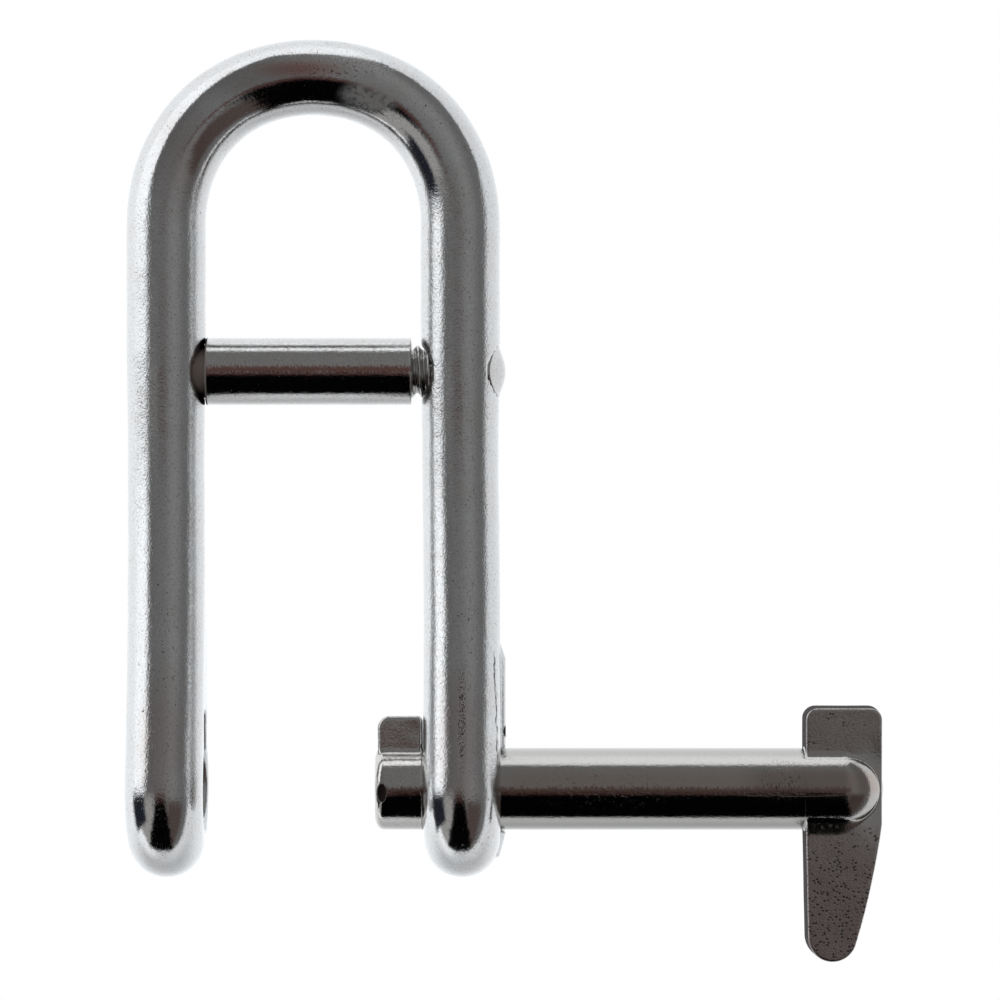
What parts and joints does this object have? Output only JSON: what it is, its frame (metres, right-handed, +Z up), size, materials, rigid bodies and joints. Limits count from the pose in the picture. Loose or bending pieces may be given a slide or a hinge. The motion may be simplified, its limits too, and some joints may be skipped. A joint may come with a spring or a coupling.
{
  "type": "key pin halyard shackle",
  "caption": "Long D-shaped captive-pin shackle with a stop bar; the keyed pin slides and turns in two eyes and ends in a flat lever.",
  "frame": {"origin": "where the halyard bears: the inside of the bow's crown, on its middle plane", "axes": "+Z up out of the crown, +X along the pin axis from the keyhole eye to the lever, Y square to the plane of the bow"},
  "size_m": [0.0572, 0.0134, 0.0696],
  "materials": {
    "bow_steel": "polished stainless steel with fine pits and streaks",
    "bar_steel": "turned and polished stainless steel",
    "pin_steel": "polished stainless steel with fine draw scratches",
    "cast_steel": "tumbled cast stainless steel with small pits"
  },
  "bodies": {
    "shackle": {"bow_body": "bow_steel", "stop_bar_stud": "bar_steel"},
    "spacer": {"stop_bar_spacer": "bar_steel"},
    "pin": {"key_pin_shank": "pin_steel"},
    "lever": {"key_pin_handle": "cast_steel", "key_pin_tip": "pin_steel"}
  },
  "joints": [
    {"name": "spacer_turn", "type": "hinge", "parent": "shackle", "child": "spacer", "pos_m": [-0.00032, 0, -0.0192], "axis": [1, 0, 0], "continuous": true},
    {"name": "pin_slide", "type": "slide", "parent": "shackle", "child": "pin", "axis": [-1, 0, 0], "range_m": [0, 0.02245]},
    {"name": "lever_turn", "type": "hinge", "parent": "pin", "child": "lever", "pos_m": [0, 0, -0.0507], "axis": [1, 0, 0], "range_deg": [-180, 180]}
  ]
}
